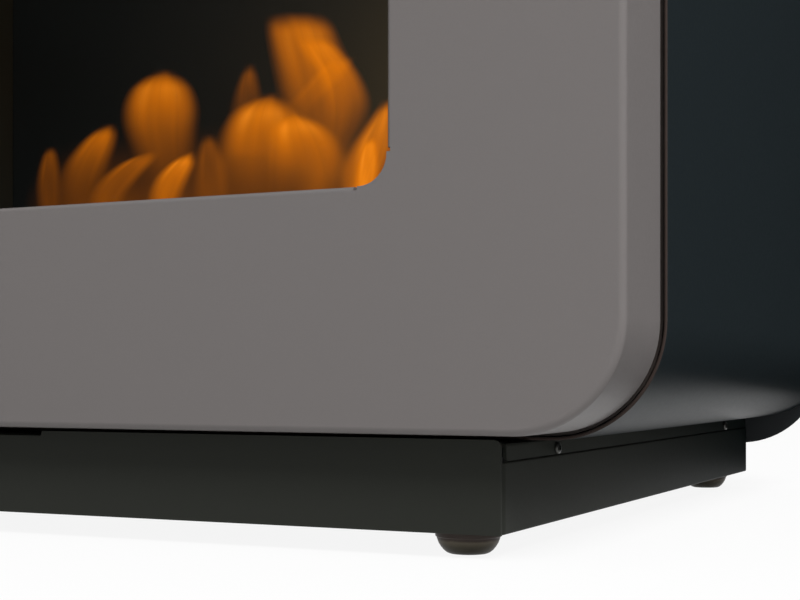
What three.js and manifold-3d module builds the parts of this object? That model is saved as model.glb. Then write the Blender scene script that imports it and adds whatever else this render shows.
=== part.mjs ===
// A free-standing bioethanol fireplace: a rounded steel body with a deep painted front frame,
// standing on a lower plinth with four rubber feet, and a burner insert that lifts out.
// Millimetres, +Z up, the front looks along -Y, the floor is at Z = 0.

import * as THREE from 'three';
import { mergeVertices } from 'three/addons/utils/BufferGeometryUtils.js';
import Module from 'manifold-3d';

const wasm = await Module();
wasm.setup();

// ---------------------------------------------------------------- driving sizes

// Sheets and fits.
const SHEET = 1.2;
const FRAME_SHEET = 1.5;
const CLEARANCE = 0.3;

// Front frame.
const FRAME_WIDTH = 498;
const FRAME_HEIGHT = 500;
const FRAME_DEPTH = 37.6;
const FRAME_RADIUS = 36;
const FRAME_EDGE_RADIUS = 2.4;
const FRAME_OVERHANG = 12;
const SIDE_RAIL = 77.5;
const LOWER_RAIL = 79;
const UPPER_RAIL = 79;
const WINDOW_RADIUS = 10;
const FOLD_DEPTH = 10;
const NOTCH_WIDTH = 1.4;
const NOTCH_DEPTH = 1.8;
const NOTCH_SETBACK = 0.5;

// Casing behind the frame.
const CASING_STEP = 2;
const CASING_DROP = 2.7;
const CASING_RADIUS = 39;
const SHADOW_GAP = 1;
const REAR_FLANGE = 20;

// Rear panel.
const REAR_PANEL_INSET = 7.2;
const REAR_PANEL_DROP = 14.1;
const REAR_PANEL_RADIUS = 42;
const VENT_SLOT_WIDTH = 6;
const VENT_SLOT_HEIGHT = 40;
const VENT_SLOT_PITCH = 24;
const VENT_SLOT_COUNT = 13;
const VENT_BAND_MARGIN = 70;

// Plinth.
const PLINTH_WIDTH = 410;
const PLINTH_DEPTH = 350;
const PLINTH_SIDE_HEIGHT = 23;
const PLINTH_BEND_RADIUS = 3;
const PLINTH_FRONT_FLANGE = 12;
const PLINTH_TOP_FLANGE = 12;
const PLINTH_FOOT_FLANGE = 32;
const PLINTH_REAR_FLANGE = 15;
const LIP_HEIGHT = 5.5;
const LIP_SETBACK = 5;
const LIP_TAB_WIDTH = 20;
const COVER_GAP = 1.6;
const COVER_CORNER_RADIUS = 2.5;
const COVER_FOLD = 3.5;
const COVER_NOTCH_WIDTH = 50;
const COVER_NOTCH_DEPTH = 1.8;

// Feet.
const FOOT_RADIUS = 11;
const FOOT_FLAT_RADIUS = 6.6;
const FOOT_HEIGHT = 7.7;
const FOOT_BAND_HEIGHT = 2.2;
const FOOT_BAND_GROOVE = 0.5;
const FOOT_RECESS_RADIUS = 4.6;
const FOOT_RECESS_DEPTH = 3.6;
const FOOT_SIDE_INSET = 18.5;
const FOOT_FRONT_INSET = 18;
const FOOT_REAR_INSET = 12.5;

// Firebox behind the front mask.
const MASK_SETBACK = 1.2;
const MASK_MARGIN = 3;
const SIDE_CAVITY = 28.6;
const SILL_HEIGHT = 14.8;
const LINTEL_HEIGHT = 15.2;
const FIREBOX_DEPTH = 246;
const FLOOR_MARGIN = 13;
const CEILING_SLOT_COUNT = 3;
const CEILING_SLOT_LENGTH = 300;
const CEILING_SLOT_WIDTH = 10;
const CEILING_SLOT_PITCH = 30;
const CEILING_SLOT_INSET = 60;
const SUPPORT_LENGTH = 220;
const SUPPORT_FLANGE = 15;
const STAY_LENGTH = 60;
const STAY_FLANGE = 18;
const STAY_INSET = 84.2;

// Burner insert in the floor of the firebox.
const BURNER_SETBACK = 140;
const TANK_LENGTH = 260;
const TANK_WIDTH = 90;
const TANK_HEIGHT = 61.5;
const TANK_RADIUS = 8;
const TANK_PLAY = 5;
const TANK_RIM = 11;
const CERAMIC_HEIGHT = 52;
const PLATE_LENGTH = 300;
const PLATE_FRONT_REACH = 60;
const PLATE_REAR_REACH = 100;
const PLATE_RADIUS = 6;
const SLOT_LENGTH = 190;
const SLOT_WIDTH = 50;
const SLOT_RADIUS = 5;

// Regulator lid and its guides.
const LID_LENGTH = 212;
const LID_WIDTH = 60;
const LID_TRAVEL = 56;
const TAB_WIDTH = 24;
const TAB_HEIGHT = 12;
const TAB_EYE_RADIUS = 3;
const GUIDE_LENGTH = 128;
const GUIDE_FRONT_REACH = 34;
const GUIDE_FOOT = 11;
const GUIDE_LIP = 4;
const GUIDE_SCREW_INSET = 14;

// Brackets that hold the frame.
const BRACKET_LENGTH = 160;
const BRACKET_LEG = 20;
const BRACKET_SCREW_INSET = 9;

// Screws and bolts: shank radius, head radius, head height.
const PANEL_SCREW = { shank: 1.7, head: 3.6, rise: 1.5, length: 8 };
const FRAME_SCREW = { shank: 1.9, head: 3.8, rise: 2.2, length: 6 };
const LIP_SCREW = { shank: 1, head: 2.1, rise: 1.2, length: 5 };
const GUIDE_SCREW = { shank: 1.4, head: 2.8, rise: 1.5, length: 3.6 };
const FOOT_SCREW = { shank: 1.9, head: 3.9, rise: 2.2, length: 11 };
const BODY_BOLT = { shank: 3, head: 5.5, rise: 3.5, length: 12 };
const HOLE_PLAY = 0.35;
const HEAD_EDGE_SHARE = 0.45;
const HEAD_CROWN_SHARE = 0.72;
const HEXAGON_SIDES = 6;
const BODY_BOLT_SIDE_INSET = 40;
const BODY_BOLT_FRONT_INSET = 75;
const BODY_BOLT_REAR_INSET = 50;
const LIP_SCREW_FRONT_INSET = 52;
const LIP_SCREW_REAR_INSET = 50;
const LIP_SCREW_RISE = 2.2;

// How finely round shapes are cut.
const CORNER_STEPS = 4;
const FOOT_SIDES = 20;
const FOOT_BULGE_STEPS = 3;
const SCREW_SIDES = 8;
const HOLE_SIDES = 10;

// ---------------------------------------------------------------- levels and planes

// Heights above the floor.
const plinthBottom = FOOT_HEIGHT + CLEARANCE;
const plinthSideTop = plinthBottom + PLINTH_SIDE_HEIGHT;
const lipBottom = plinthSideTop + CLEARANCE;
const lipTop = lipBottom + LIP_HEIGHT;
const casingBottom = lipTop + CLEARANCE;
const frameBottom = casingBottom + CASING_DROP;
const frameTop = frameBottom + FRAME_HEIGHT;
const casingTop = frameTop + CASING_STEP;
const coverTop = frameBottom - COVER_GAP;
const windowBottom = frameBottom + LOWER_RAIL;
const windowTop = frameTop - UPPER_RAIL;
const floorTop = windowBottom - SILL_HEIGHT;
const ceilingBottom = windowTop + LINTEL_HEIGHT;
const rimBottom = floorTop + CLEARANCE;
const plateTop = rimBottom + SHEET + CLEARANCE + SHEET;
const lidBottom = plateTop + CLEARANCE;
const lidTop = lidBottom + SHEET;

// Half widths.
const plinthHalf = PLINTH_WIDTH / 2;
const frameHalf = FRAME_WIDTH / 2;
const casingHalf = frameHalf + CASING_STEP;
const windowHalf = frameHalf - SIDE_RAIL;
const fireboxHalf = casingHalf - SHEET - SIDE_CAVITY - SHEET;
const floorHalf = fireboxHalf + SHEET + FLOOR_MARGIN;

// Planes behind the face of the plinth, which is at Y = 0 in the assembly group.
const frameFace = -FRAME_OVERHANG;
const frameBack = frameFace + FRAME_DEPTH;
const casingFront = frameBack + SHADOW_GAP;
const maskFront = casingFront + MASK_SETBACK;
const maskBack = maskFront + SHEET;
const fireboxFront = maskBack + CLEARANCE;
const fireboxBack = fireboxFront + FIREBOX_DEPTH;
const linerEnd = fireboxBack + SHEET + FLOOR_MARGIN;
const panelFront = PLINTH_DEPTH + CLEARANCE;
const panelBack = panelFront + SHEET;
const screwSeat = panelBack + CLEARANCE;
const rearEnd = screwSeat + PANEL_SCREW.rise;

// ---------------------------------------------------------------- materials

function paint(color, roughness, metalness) {
  return new THREE.MeshStandardMaterial({ color, roughness, metalness });
}

const framePaint = paint(0x716d6b, 0.38, 0.1);
const casingPaint = paint(0x23282c, 0.45, 0.2);
const plinthPaint = paint(0x2b3032, 0.5, 0.2);
const heatproofBlack = paint(0x141516, 0.7, 0.1);
const burnerSteel = paint(0x6f6b66, 0.35, 0.9);
const zincSteel = paint(0x9a9a98, 0.4, 0.9);
const blackScrew = paint(0x1c1e20, 0.4, 0.8);
const ceramic = paint(0xd8d2c4, 0.95, 0);
const rubber = paint(0x5a4a3c, 0.5, 0);

// ---------------------------------------------------------------- shape helpers

// A closed geometry becomes a solid that can be cut and joined.
function solid(geometry) {
  const plain = geometry.clone();
  plain.deleteAttribute('normal');
  plain.deleteAttribute('uv');
  const merged = mergeVertices(plain);
  const vertProperties = new Float32Array(merged.attributes.position.array);
  const triVerts = new Uint32Array(merged.index.array);
  return new wasm.Manifold(new wasm.Mesh({ numProp: 3, vertProperties, triVerts }));
}

// A finished solid becomes a named mesh.
function piece(name, material, body) {
  const mesh = body.getMesh();
  const geometry = new THREE.BufferGeometry();
  geometry.setAttribute('position', new THREE.BufferAttribute(mesh.vertProperties, 3));
  geometry.setIndex(new THREE.BufferAttribute(mesh.triVerts, 1));
  geometry.computeVertexNormals();
  const result = new THREE.Mesh(geometry, material);
  result.name = name;
  return result;
}

// A block between two planes on each axis.
function block([x0, x1], [y0, y1], [z0, z1]) {
  const box = new THREE.BoxGeometry(x1 - x0, y1 - y0, z1 - z0);
  box.translate((x0 + x1) / 2, (y0 + y1) / 2, (z0 + z1) / 2);
  return solid(box);
}

// An outline with four rounded corners between two limits on each axis.
function roundedOutline([u0, u1], [v0, v1], radius) {
  const shape = new THREE.Shape();
  const quarter = Math.PI / 2;
  shape.absarc(u1 - radius, v0 + radius, radius, -quarter, 0);
  shape.absarc(u1 - radius, v1 - radius, radius, 0, quarter);
  shape.absarc(u0 + radius, v1 - radius, radius, quarter, 2 * quarter);
  shape.absarc(u0 + radius, v0 + radius, radius, 2 * quarter, 3 * quarter);
  shape.closePath();
  return shape;
}

// An outline in X and Z, pulled out along Y from y0 to y1.
function pulledAlongY(outline, [y0, y1], bevel = 0) {
  const geometry = new THREE.ExtrudeGeometry(outline, {
    depth: y1 - y0 - 2 * bevel,
    curveSegments: CORNER_STEPS,
    bevelEnabled: bevel > 0,
    bevelThickness: bevel,
    bevelSize: bevel,
    bevelOffset: -bevel,
    bevelSegments: 3,
  });
  geometry.rotateX(Math.PI / 2);
  geometry.translate(0, y1 - bevel, 0);
  return solid(geometry);
}

// An outline in X and Y, pulled up from z0 to z1.
function pulledUp(outline, [z0, z1]) {
  const geometry = new THREE.ExtrudeGeometry(outline, {
    depth: z1 - z0,
    curveSegments: CORNER_STEPS,
    bevelEnabled: false,
  });
  geometry.translate(0, 0, z0);
  return solid(geometry);
}

// A round rod along Z, centred on x and y.
function rodUp(radius, [z0, z1], x, y) {
  const geometry = new THREE.CylinderGeometry(radius, radius, z1 - z0, HOLE_SIDES);
  geometry.rotateX(Math.PI / 2);
  geometry.translate(x, y, (z0 + z1) / 2);
  return solid(geometry);
}

// A round rod along Y, centred on x and z.
function rodAlongY(radius, [y0, y1], x, z) {
  const geometry = new THREE.CylinderGeometry(radius, radius, y1 - y0, HOLE_SIDES);
  geometry.translate(x, (y0 + y1) / 2, z);
  return solid(geometry);
}

// A round rod along X, centred on y and z.
function rodAlongX(radius, [x0, x1], y, z) {
  const geometry = new THREE.CylinderGeometry(radius, radius, x1 - x0, HOLE_SIDES);
  geometry.rotateZ(Math.PI / 2);
  geometry.translate((x0 + x1) / 2, y, z);
  return solid(geometry);
}

// A solid turned about the Z axis from [radius, height] pairs.
function turned(profile, sides) {
  const points = profile.map(([radius, height]) => new THREE.Vector2(radius, height));
  const geometry = new THREE.LatheGeometry(points, sides);
  geometry.rotateX(Math.PI / 2);
  return solid(geometry);
}

// A pan-head screw: the head rises from Z = 0, the shank points down.
function screw(size) {
  const { shank, head, rise, length } = size;
  const profile = [
    [0, -length],
    [shank, -length],
    [shank, 0],
    [head, 0],
    [head, rise * HEAD_EDGE_SHARE],
    [head * HEAD_CROWN_SHARE, rise],
    [0, rise],
  ];
  return turned(profile, SCREW_SIDES);
}

// A bolt with a hexagon head: the head rises from Z = 0, the shank points down.
function hexagonBolt(size) {
  const { shank, head, rise, length } = size;
  const shaft = turned([[0, -length], [shank, -length], [shank, rise / 2], [0, rise / 2]], SCREW_SIDES);
  const hexagon = turned([[0, 0], [head, 0], [head, rise], [0, rise]], HEXAGON_SIDES);
  return shaft.add(hexagon);
}

// Mirrors a finished right-hand solid to the left.
function mirrored(body) {
  return body.mirror([1, 0, 0]);
}

const holeRadius = (size) => size.shank + HOLE_PLAY;

// ---------------------------------------------------------------- plinth

const footPlaces = [
  ['front_left', -plinthHalf + FOOT_SIDE_INSET, FOOT_FRONT_INSET],
  ['front_right', plinthHalf - FOOT_SIDE_INSET, FOOT_FRONT_INSET],
  ['rear_left', -plinthHalf + FOOT_SIDE_INSET, PLINTH_DEPTH - FOOT_REAR_INSET],
  ['rear_right', plinthHalf - FOOT_SIDE_INSET, PLINTH_DEPTH - FOOT_REAR_INSET],
];

const lipScrewHeight = lipBottom + LIP_SCREW_RISE;
const lipScrewPlaces = [LIP_SCREW_FRONT_INSET, PLINTH_DEPTH - LIP_SCREW_REAR_INSET];

// Right-hand side of the plinth: an upright wall with a bent front edge, a narrow top flange,
// a wide bottom flange for the feet, and two tabs that the lip of the plinth top is screwed to.
function plinthSide() {
  const front = SHEET + CLEARANCE;
  const wallInner = plinthHalf - SHEET;
  const outer = [plinthHalf - PLINTH_FOOT_FLANGE, plinthHalf];
  const outline = roundedOutline(outer, [front, PLINTH_DEPTH + 2 * PLINTH_BEND_RADIUS], PLINTH_BEND_RADIUS);
  const behind = block([0, 2 * plinthHalf], [PLINTH_DEPTH, 2 * PLINTH_DEPTH], [0, casingBottom]);
  let body = pulledUp(outline, [plinthBottom, plinthSideTop]).subtract(behind);
  const levels = [plinthBottom + SHEET, plinthSideTop - SHEET];
  body = body.subtract(block([0, wallInner], [front + SHEET, 2 * PLINTH_DEPTH], levels));
  const topCut = plinthHalf - PLINTH_TOP_FLANGE;
  const upperLevels = [plinthBottom + SHEET, casingBottom];
  body = body.subtract(block([0, topCut], [front + SHEET, 2 * PLINTH_DEPTH], upperLevels));
  const frontCut = plinthHalf - PLINTH_FRONT_FLANGE;
  body = body.subtract(block([0, frontCut], [0, front + 2 * SHEET], upperLevels));
  for (const place of lipScrewPlaces) {
    const reach = [place - LIP_TAB_WIDTH / 2, place + LIP_TAB_WIDTH / 2];
    const tabOuter = wallInner - CLEARANCE;
    const tab = block([tabOuter - SHEET, tabOuter], reach, [plinthSideTop - SHEET, lipTop - SHEET - CLEARANCE]);
    const hole = rodAlongX(holeRadius(LIP_SCREW), [0, 2 * plinthHalf], place, lipScrewHeight);
    body = body.add(tab).subtract(hole);
  }
  for (const [, x, y] of footPlaces.filter(([, side]) => side > 0)) {
    body = body.subtract(rodUp(holeRadius(FOOT_SCREW), [0, plinthSideTop - 2 * SHEET], x, y));
  }
  return body;
}

// Rear wall of the plinth between the two sides, with a flange at its top.
function plinthRear() {
  const half = plinthHalf - SHEET - CLEARANCE;
  const innerHalf = plinthHalf - PLINTH_FOOT_FLANGE - CLEARANCE;
  const flangeHalf = plinthHalf - PLINTH_TOP_FLANGE - CLEARANCE;
  const wall = [PLINTH_DEPTH - SHEET, PLINTH_DEPTH];
  const shelf = [PLINTH_DEPTH - PLINTH_REAR_FLANGE, PLINTH_DEPTH];
  const levels = [plinthBottom + SHEET + CLEARANCE, plinthSideTop - SHEET - CLEARANCE];
  let body = block([-half, half], wall, levels);
  body = body.add(block([-innerHalf, innerHalf], wall, [plinthBottom, levels[1]]));
  body = body.add(block([-flangeHalf, flangeHalf], wall, [levels[0], plinthSideTop]));
  body = body.add(block([-flangeHalf, flangeHalf], shelf, [plinthSideTop - SHEET, plinthSideTop]));
  return body;
}

// Front cover: a thin plate in front of the sides, with rounded top corners, its top edge folded
// back, and a shallow finger notch in the middle of the top edge.
function plinthFrontCover() {
  const half = plinthHalf;
  const tall = [plinthBottom - COVER_CORNER_RADIUS, coverTop];
  let body = pulledAlongY(roundedOutline([-half, half], tall, COVER_CORNER_RADIUS), [0, SHEET]);
  body = body.subtract(block([-2 * half, 2 * half], [-SHEET, 2 * SHEET], [0, plinthBottom]));
  const foldHalf = half - COVER_CORNER_RADIUS;
  body = body.add(block([-foldHalf, foldHalf], [0, COVER_FOLD], [coverTop - SHEET, coverTop]));
  const notch = COVER_NOTCH_WIDTH / 2;
  const notchLevels = [coverTop - COVER_NOTCH_DEPTH, frameTop];
  return body.subtract(block([-notch, notch], [-SHEET, 2 * COVER_FOLD], notchLevels));
}

// Top of the plinth: a shallow tray turned over, whose lip stands on the edges of the sides.
function plinthTop() {
  const radius = PLINTH_BEND_RADIUS;
  const depth = [LIP_SETBACK, PLINTH_DEPTH];
  let body = pulledUp(roundedOutline([-plinthHalf, plinthHalf], depth, radius), [lipBottom, lipTop]);
  const innerHalf = plinthHalf - SHEET;
  const innerDepth = [LIP_SETBACK + SHEET, PLINTH_DEPTH - SHEET];
  const innerOutline = roundedOutline([-innerHalf, innerHalf], innerDepth, radius - SHEET);
  body = body.subtract(pulledUp(innerOutline, [0, lipTop - SHEET]));
  for (const place of lipScrewPlaces) {
    const across = [-2 * plinthHalf, 2 * plinthHalf];
    body = body.subtract(rodAlongX(holeRadius(LIP_SCREW), across, place, lipScrewHeight));
  }
  return withBodyBoltHoles(body);
}

// Rubber foot: a rounded bump with a groove near its top and a recess for its screw.
function foot() {
  const bandBottom = FOOT_HEIGHT - FOOT_BAND_HEIGHT;
  const bulge = FOOT_RADIUS - FOOT_FLAT_RADIUS;
  const profile = [[0, 0], [FOOT_FLAT_RADIUS, 0]];
  for (let step = 1; step <= FOOT_BULGE_STEPS; step += 1) {
    const share = step / FOOT_BULGE_STEPS;
    const angle = share * (Math.PI / 2);
    const radius = FOOT_FLAT_RADIUS + bulge * Math.sin(angle) - FOOT_BAND_GROOVE * share;
    profile.push([radius, bandBottom * (1 - Math.cos(angle))]);
  }
  profile.push([FOOT_RADIUS, bandBottom + FOOT_BAND_GROOVE]);
  profile.push([FOOT_RADIUS, FOOT_HEIGHT]);
  profile.push([0, FOOT_HEIGHT]);
  let body = turned(profile, FOOT_SIDES);
  body = body.subtract(rodUp(holeRadius(FOOT_SCREW), [-FOOT_HEIGHT, 2 * FOOT_HEIGHT], 0, 0));
  return body.subtract(rodUp(FOOT_RECESS_RADIUS, [-FOOT_HEIGHT, FOOT_RECESS_DEPTH], 0, 0));
}

// ---------------------------------------------------------------- casing and rear panel

const bodyBoltSide = plinthHalf - BODY_BOLT_SIDE_INSET;
const bodyBoltRear = PLINTH_DEPTH - BODY_BOLT_REAR_INSET;
const bodyBoltPlaces = [
  ['front_left', -bodyBoltSide, BODY_BOLT_FRONT_INSET],
  ['front_right', bodyBoltSide, BODY_BOLT_FRONT_INSET],
  ['rear_left', -bodyBoltSide, bodyBoltRear],
  ['rear_right', bodyBoltSide, bodyBoltRear],
];

// The screws of the rear panel go into the flange of the casing: three down each side.
const panelScrewSide = casingHalf - (REAR_FLANGE + REAR_PANEL_INSET) / 2;
const panelScrewLow = casingBottom + CASING_RADIUS + REAR_FLANGE;
const panelScrewHigh = casingTop - CASING_RADIUS - REAR_FLANGE;
const panelScrewPlaces = [];
for (const x of [-panelScrewSide, panelScrewSide]) {
  for (const z of [panelScrewLow, (panelScrewLow + panelScrewHigh) / 2, panelScrewHigh]) {
    panelScrewPlaces.push([x, z]);
  }
}

function withBodyBoltHoles(body) {
  let result = body;
  for (const [, x, y] of bodyBoltPlaces) {
    result = result.subtract(rodUp(holeRadius(BODY_BOLT), [0, casingBottom + 2 * SHEET], x, y));
  }
  return result;
}

function withPanelScrewHoles(body) {
  let result = body;
  for (const [x, z] of panelScrewPlaces) {
    const along = [PLINTH_DEPTH - 2 * SHEET, rearEnd];
    result = result.subtract(rodAlongY(holeRadius(PANEL_SCREW), along, x, z));
  }
  return result;
}

// Outline of the casing, drawn in by an inset.
function casingOutline(inset) {
  const half = casingHalf - inset;
  const tall = [casingBottom + inset, casingTop - inset];
  return roundedOutline([-half, half], tall, CASING_RADIUS - inset);
}

// Outer casing: one wrapped sheet with an inward flange at the rear.
function outerCasing() {
  const wall = pulledAlongY(casingOutline(0), [casingFront, PLINTH_DEPTH]);
  const inside = pulledAlongY(casingOutline(SHEET), [frameFace, PLINTH_DEPTH - SHEET]);
  const rearOpening = pulledAlongY(casingOutline(REAR_FLANGE), [maskFront, 2 * PLINTH_DEPTH]);
  return withPanelScrewHoles(withBodyBoltHoles(wall.subtract(inside).subtract(rearOpening)));
}

// Rear panel: a flat plate with two bands of upright vent slots.
function rearPanel() {
  const half = casingHalf - REAR_PANEL_INSET;
  const tall = [casingBottom - REAR_PANEL_DROP, casingTop - REAR_PANEL_INSET];
  let body = pulledAlongY(roundedOutline([-half, half], tall, REAR_PANEL_RADIUS), [panelFront, panelBack]);
  const bandHeights = [casingBottom + VENT_BAND_MARGIN, casingTop - VENT_BAND_MARGIN];
  for (const middle of bandHeights) {
    for (let index = 0; index < VENT_SLOT_COUNT; index += 1) {
      const x = (index - (VENT_SLOT_COUNT - 1) / 2) * VENT_SLOT_PITCH;
      const across = [x - VENT_SLOT_WIDTH / 2, x + VENT_SLOT_WIDTH / 2];
      const levels = [middle - VENT_SLOT_HEIGHT / 2, middle + VENT_SLOT_HEIGHT / 2];
      body = body.subtract(block(across, [PLINTH_DEPTH, rearEnd], levels));
    }
  }
  return withPanelScrewHoles(body);
}

// ---------------------------------------------------------------- front frame

// Front frame: one deep pan with rounded corners. The straight edges of its window are folded
// inwards, with a small relief notch in the face at both ends of each fold.
function frontFrame() {
  const tall = [frameBottom, frameTop];
  const outline = roundedOutline([-frameHalf, frameHalf], tall, FRAME_RADIUS);
  const whole = pulledAlongY(outline, [frameFace, frameBack + FRAME_DEPTH], FRAME_EDGE_RADIUS);
  const behind = [frameBack, frameBack + 2 * FRAME_DEPTH];
  const rest = block([-FRAME_WIDTH, FRAME_WIDTH], behind, [0, 2 * frameTop]);
  const innerHalf = frameHalf - FRAME_SHEET;
  const innerTall = [frameBottom + FRAME_SHEET, frameTop - FRAME_SHEET];
  const innerOutline = roundedOutline([-innerHalf, innerHalf], innerTall, FRAME_RADIUS - FRAME_SHEET);
  const inside = pulledAlongY(innerOutline, [frameFace + FRAME_SHEET, frameBack + 2 * FRAME_DEPTH]);
  let body = whole.subtract(rest).subtract(inside);

  // The folds are bars around the window that the window then trims flush.
  const depth = [frameFace + FRAME_SHEET / 2, frameFace + FOLD_DEPTH];
  const cornerEnd = WINDOW_RADIUS + NOTCH_SETBACK;
  const foldEnd = cornerEnd + NOTCH_WIDTH / 2;
  const uprightRange = [windowBottom + foldEnd, windowTop - foldEnd];
  const levelRange = [-windowHalf + foldEnd, windowHalf - foldEnd];
  const outerHalf = windowHalf + FRAME_SHEET;
  const outerTall = [windowBottom - FRAME_SHEET, windowTop + FRAME_SHEET];
  body = body.add(block([-outerHalf, outerHalf], depth, uprightRange));
  body = body.add(block(levelRange, depth, outerTall));
  const opening = roundedOutline([-windowHalf, windowHalf], [windowBottom, windowTop], WINDOW_RADIUS);
  body = body.subtract(pulledAlongY(opening, [frameFace - FRAME_SHEET, frameBack]));

  const through = [frameFace - FRAME_SHEET, frameFace + FOLD_DEPTH + FRAME_SHEET];
  const notchHalf = windowHalf + NOTCH_DEPTH;
  const notchTall = [windowBottom - NOTCH_DEPTH, windowTop + NOTCH_DEPTH];
  const low = windowBottom + cornerEnd;
  const high = windowTop - cornerEnd;
  const end = windowHalf - cornerEnd;
  body = body.subtract(block([-notchHalf, notchHalf], through, [low, low + NOTCH_WIDTH]));
  body = body.subtract(block([-notchHalf, notchHalf], through, [high - NOTCH_WIDTH, high]));
  body = body.subtract(block([-end, -end + NOTCH_WIDTH], through, notchTall));
  return body.subtract(block([end - NOTCH_WIDTH, end], through, notchTall));
}

// The brackets stand on the front mask, one against the middle of each return of the frame.
const frameCentre = (frameBottom + frameTop) / 2;
const bracketReachAcross = frameHalf - FRAME_SHEET - CLEARANCE;
const bracketReachUp = FRAME_HEIGHT / 2 - FRAME_SHEET - CLEARANCE;
const bracketPlaces = [
  ['right', 0, bracketReachAcross],
  ['top', 1, bracketReachUp],
  ['left', 2, bracketReachAcross],
  ['bottom', 3, bracketReachUp],
];

// Frame bracket: an angle strip. Its outer face is at X = 0 and it lies along Z.
function frameBracket() {
  const back = maskFront - CLEARANCE;
  const lengthwise = [-BRACKET_LENGTH / 2, BRACKET_LENGTH / 2];
  const leg = block([-SHEET, 0], [back - BRACKET_LEG, back], lengthwise);
  const base = block([-BRACKET_LEG, 0], [back - SHEET, back], lengthwise);
  const screwX = -BRACKET_SCREW_INSET;
  return leg.add(base).subtract(rodAlongY(holeRadius(FRAME_SCREW), [frameFace, maskBack], screwX, 0));
}

// ---------------------------------------------------------------- firebox

// Front mask: the bulkhead inside the mouth of the casing, which carries frame and firebox.
function frontMask() {
  const plane = [maskFront, maskBack];
  let body = pulledAlongY(casingOutline(SHEET + CLEARANCE), plane);
  const half = windowHalf + MASK_MARGIN;
  const tall = [windowBottom - MASK_MARGIN, windowTop + MASK_MARGIN];
  const opening = roundedOutline([-half, half], tall, WINDOW_RADIUS + MASK_MARGIN);
  body = body.subtract(pulledAlongY(opening, [frameFace, fireboxBack]));
  for (const [, quarter, reach] of bracketPlaces) {
    const angle = quarter * (Math.PI / 2);
    const distance = reach - BRACKET_SCREW_INSET;
    const x = distance * Math.cos(angle);
    const z = frameCentre + distance * Math.sin(angle);
    body = body.subtract(rodAlongY(holeRadius(FRAME_SCREW), [frameFace, fireboxBack], x, z));
  }
  return body;
}

const tankHalf = TANK_LENGTH / 2;
const tankReach = TANK_WIDTH / 2;

// Firebox floor: a level plate with the cut-out that the burner insert drops into.
function fireboxFloor() {
  const plate = block([-floorHalf, floorHalf], [fireboxFront, linerEnd], [floorTop - SHEET, floorTop]);
  const half = tankHalf + TANK_PLAY;
  const reach = tankReach + TANK_PLAY;
  const depth = [BURNER_SETBACK - reach, BURNER_SETBACK + reach];
  const outline = roundedOutline([-half, half], depth, TANK_RADIUS + TANK_PLAY);
  return plate.subtract(pulledUp(outline, [0, 2 * floorTop]));
}

const linerLevels = [floorTop + CLEARANCE, ceilingBottom - CLEARANCE];

function fireboxSide() {
  return block([fireboxHalf, fireboxHalf + SHEET], [fireboxFront, fireboxBack + SHEET], linerLevels);
}

function fireboxRear() {
  const half = fireboxHalf - CLEARANCE;
  return block([-half, half], [fireboxBack, fireboxBack + SHEET], linerLevels);
}

// Firebox ceiling: a level plate with long slots near its rear for the warm air.
function fireboxCeiling() {
  const levels = [ceilingBottom, ceilingBottom + SHEET];
  let body = block([-floorHalf, floorHalf], [fireboxFront, linerEnd], levels);
  for (let index = 0; index < CEILING_SLOT_COUNT; index += 1) {
    const y = fireboxBack - CEILING_SLOT_INSET - index * CEILING_SLOT_PITCH;
    const depth = [y - CEILING_SLOT_WIDTH / 2, y + CEILING_SLOT_WIDTH / 2];
    const half = CEILING_SLOT_LENGTH / 2;
    body = body.subtract(block([-half, half], depth, [floorTop, casingTop]));
  }
  return body;
}

// A Z-shaped sheet bracket, centred on Y = 0: foot outwards, upright web, head inwards.
function zBracket(flange, length, [low, high]) {
  const lengthwise = [-length / 2, length / 2];
  const web = block([0, SHEET], lengthwise, [low, high]);
  const sole = block([0, flange], lengthwise, [low, low + SHEET]);
  const head = block([SHEET - flange, SHEET], lengthwise, [high - SHEET, high]);
  return web.add(sole).add(head);
}

function floorSupport() {
  const levels = [casingBottom + SHEET + CLEARANCE, floorTop - SHEET - CLEARANCE];
  return zBracket(SUPPORT_FLANGE, SUPPORT_LENGTH, levels);
}

function ceilingStay() {
  const levels = [ceilingBottom + SHEET + CLEARANCE, casingTop - SHEET - CLEARANCE];
  return zBracket(STAY_FLANGE, STAY_LENGTH, levels);
}

// ---------------------------------------------------------------- burner insert

// The burner pieces are drawn around the middle of the flame slot, with Y = 0 there.

// Fuel tank: an open box whose outward rim lies on the firebox floor around the cut-out.
function burnerTank() {
  const rimTop = rimBottom + SHEET;
  const tankBottom = rimTop - TANK_HEIGHT;
  const across = [-tankHalf, tankHalf];
  const reach = [-tankReach, tankReach];
  let body = pulledUp(roundedOutline(across, reach, TANK_RADIUS), [tankBottom, rimTop]);
  const rimHalf = tankHalf + TANK_RIM;
  const rimReach = tankReach + TANK_RIM;
  const rim = roundedOutline([-rimHalf, rimHalf], [-rimReach, rimReach], TANK_RADIUS + TANK_RIM);
  body = body.add(pulledUp(rim, [rimBottom, rimTop]));
  const innerHalf = tankHalf - SHEET;
  const innerReach = tankReach - SHEET;
  const inner = roundedOutline([-innerHalf, innerHalf], [-innerReach, innerReach], TANK_RADIUS - SHEET);
  return body.subtract(pulledUp(inner, [tankBottom + SHEET, 2 * rimTop]));
}

// Ceramic block: the porous filling that soaks up the fuel.
function ceramicBlock() {
  const low = rimBottom + SHEET - TANK_HEIGHT + SHEET + CLEARANCE;
  const half = tankHalf - SHEET - CLEARANCE;
  const reach = tankReach - SHEET - CLEARANCE;
  const radius = TANK_RADIUS - SHEET - CLEARANCE;
  return pulledUp(roundedOutline([-half, half], [-reach, reach], radius), [low, low + CERAMIC_HEIGHT]);
}

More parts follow.
